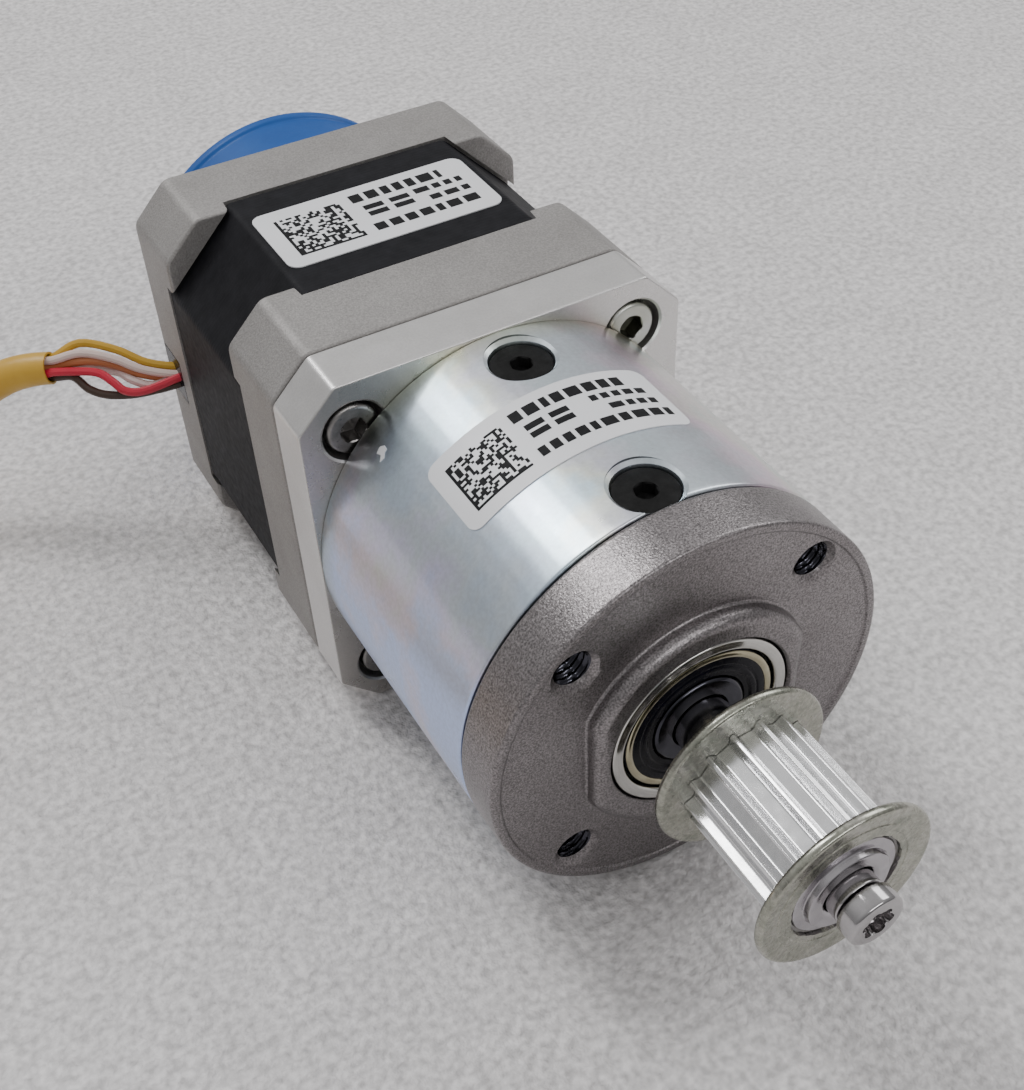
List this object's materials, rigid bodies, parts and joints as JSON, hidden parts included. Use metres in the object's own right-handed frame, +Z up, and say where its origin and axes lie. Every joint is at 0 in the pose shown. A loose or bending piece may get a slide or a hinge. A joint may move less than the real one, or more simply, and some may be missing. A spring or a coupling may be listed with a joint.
{
  "type": "gearmotor",
  "caption": "Hybrid stepper motor with a two-stage planetary gearbox, a toothed-belt pulley on its output shaft and a sleeved lead",
  "frame": {"origin": "middle of the bounding box in X and Y, on the surface that the motor lies on", "axes": "+Z up, the shaft axis along Y with the output pointing to -Y, +X to the right as seen from the output end"},
  "size_m": [0.1279, 0.1177, 0.0423],
  "materials": {
    "cast_aluminium": "sand-cast, bead-blasted",
    "machined_aluminium": "machined",
    "zinc_plated_steel": "bright zinc plate, iridescent",
    "steel": "ground",
    "black_oxide_steel": "black oxide",
    "gear_steel": "hobbed, oiled",
    "laminations": "satin black lacquer",
    "copper": "enamelled copper wire",
    "magnet": "ground sintered magnet",
    "rubber": "moulded",
    "blue_plastic": "moulded, slightly glossy",
    "label_film": "printed silver film",
    "yellow_sleeve": "glossy varnished sleeve"
  },
  "bodies": {
    "motor_and_housing": {"rear_end_bell": "cast_aluminium", "stator_stack": "laminations", "winding_front": "copper", "winding_rear": "copper", "front_end_bell": "cast_aluminium", "wave_washer": "steel", "front_motor_bearing_outer": "steel", "rear_motor_bearing_outer": "steel", "lead_grommet": "rubber", "rear_cap": "blue_plastic", "motor_label": "label_film", "adapter_flange": "machined_aluminium", "ring_gear_tube": "zinc_plated_steel", "gearbox_label": "label_film", "output_flange": "cast_aluminium", "output_bearing_outer": "steel", "output_bearing_seal": "rubber", "support_bearing_outer": "steel", "tie_bolt_1": "steel", "tie_bolt_2": "steel", "tie_bolt_3": "steel", "tie_bolt_4": "steel", "adapter_screw_1": "steel", "adapter_screw_2": "steel", "adapter_screw_3": "steel", "adapter_screw_4": "steel", "radial_screw_rear_1": "black_oxide_steel", "radial_screw_rear_2": "black_oxide_steel", "radial_screw_rear_3": "black_oxide_steel", "radial_screw_front_1": "black_oxide_steel", "radial_screw_front_2": "black_oxide_steel", "radial_screw_front_3": "black_oxide_steel", "lead_tube": "yellow_sleeve", "lead_coil": "yellow_sleeve"},
    "motor_rotor": {"motor_shaft": "steel", "rotor_cup_front": "gear_steel", "rotor_cup_rear": "gear_steel", "rotor_magnet": "magnet", "front_motor_bearing_inner": "steel", "rear_motor_bearing_inner": "steel", "sun_gear_1": "gear_steel"},
    "first_carrier": {"carrier_1": "gear_steel", "sun_gear_2": "gear_steel"},
    "output": {"output_shaft": "steel", "support_bearing_inner": "steel", "output_bearing_inner": "steel", "timing_pulley": "machined_aluminium", "pulley_flange_rear": "zinc_plated_steel", "pulley_flange_front": "zinc_plated_steel", "pulley_screw": "steel"},
    "planet_1_1_body": {"planet_1_1": "gear_steel"},
    "planet_1_2_body": {"planet_1_2": "gear_steel"},
    "planet_1_3_body": {"planet_1_3": "gear_steel"},
    "planet_1_4_body": {"planet_1_4": "gear_steel"},
    "planet_2_1_body": {"planet_2_1": "gear_steel"},
    "planet_2_2_body": {"planet_2_2": "gear_steel"},
    "planet_2_3_body": {"planet_2_3": "gear_steel"},
    "planet_2_4_body": {"planet_2_4": "gear_steel"}
  },
  "joints": [
    {"name": "output_spin", "type": "hinge", "parent": "motor_and_housing", "child": "output", "pos_m": [0, -0.02775, 0.02115], "axis": [0, -1, 0], "continuous": true},
    {"name": "first_carrier_spin", "type": "hinge", "parent": "motor_and_housing", "child": "first_carrier", "pos_m": [0, -0.01275, 0.02115], "axis": [0, -1, 0], "continuous": true},
    {"name": "rotor_spin", "type": "hinge", "parent": "motor_and_housing", "child": "motor_rotor", "pos_m": [0, 0.02725, 0.02115], "axis": [0, -1, 0], "continuous": true},
    {"name": "planet_1_1_spin", "type": "hinge", "parent": "first_carrier", "child": "planet_1_1_body", "pos_m": [0.0117, -0.00895, 0.02115], "axis": [0, -1, 0], "continuous": true},
    {"name": "planet_1_2_spin", "type": "hinge", "parent": "first_carrier", "child": "planet_1_2_body", "pos_m": [0, -0.00895, 0.03285], "axis": [0, -1, 0], "continuous": true},
    {"name": "planet_1_3_spin", "type": "hinge", "parent": "first_carrier", "child": "planet_1_3_body", "pos_m": [-0.0117, -0.00895, 0.02115], "axis": [0, -1, 0], "continuous": true},
    {"name": "planet_1_4_spin", "type": "hinge", "parent": "first_carrier", "child": "planet_1_4_body", "pos_m": [0, -0.00895, 0.00945], "axis": [0, -1, 0], "continuous": true},
    {"name": "planet_2_1_spin", "type": "hinge", "parent": "output", "child": "planet_2_1_body", "pos_m": [0.0117, -0.01645, 0.02115], "axis": [0, -1, 0], "continuous": true},
    {"name": "planet_2_2_spin", "type": "hinge", "parent": "output", "child": "planet_2_2_body", "pos_m": [0, -0.01645, 0.03285], "axis": [0, -1, 0], "continuous": true},
    {"name": "planet_2_3_spin", "type": "hinge", "parent": "output", "child": "planet_2_3_body", "pos_m": [-0.0117, -0.01645, 0.02115], "axis": [0, -1, 0], "continuous": true},
    {"name": "planet_2_4_spin", "type": "hinge", "parent": "output", "child": "planet_2_4_body", "pos_m": [0, -0.01645, 0.00945], "axis": [0, -1, 0], "continuous": true}
  ],
  "couplings": [
    {"joint": "first_carrier_spin", "follows": "output_spin", "ratio": 3.7143},
    {"joint": "rotor_spin", "follows": "output_spin", "ratio": 13.796},
    {"joint": "planet_1_1_spin", "follows": "output_spin", "ratio": -11.762},
    {"joint": "planet_1_2_spin", "follows": "output_spin", "ratio": -11.762},
    {"joint": "planet_1_3_spin", "follows": "output_spin", "ratio": -11.762},
    {"joint": "planet_1_4_spin", "follows": "output_spin", "ratio": -11.762},
    {"joint": "planet_2_1_spin", "follows": "output_spin", "ratio": -3.1667},
    {"joint": "planet_2_2_spin", "follows": "output_spin", "ratio": -3.1667},
    {"joint": "planet_2_3_spin", "follows": "output_spin", "ratio": -3.1667},
    {"joint": "planet_2_4_spin", "follows": "output_spin", "ratio": -3.1667}
  ]
}
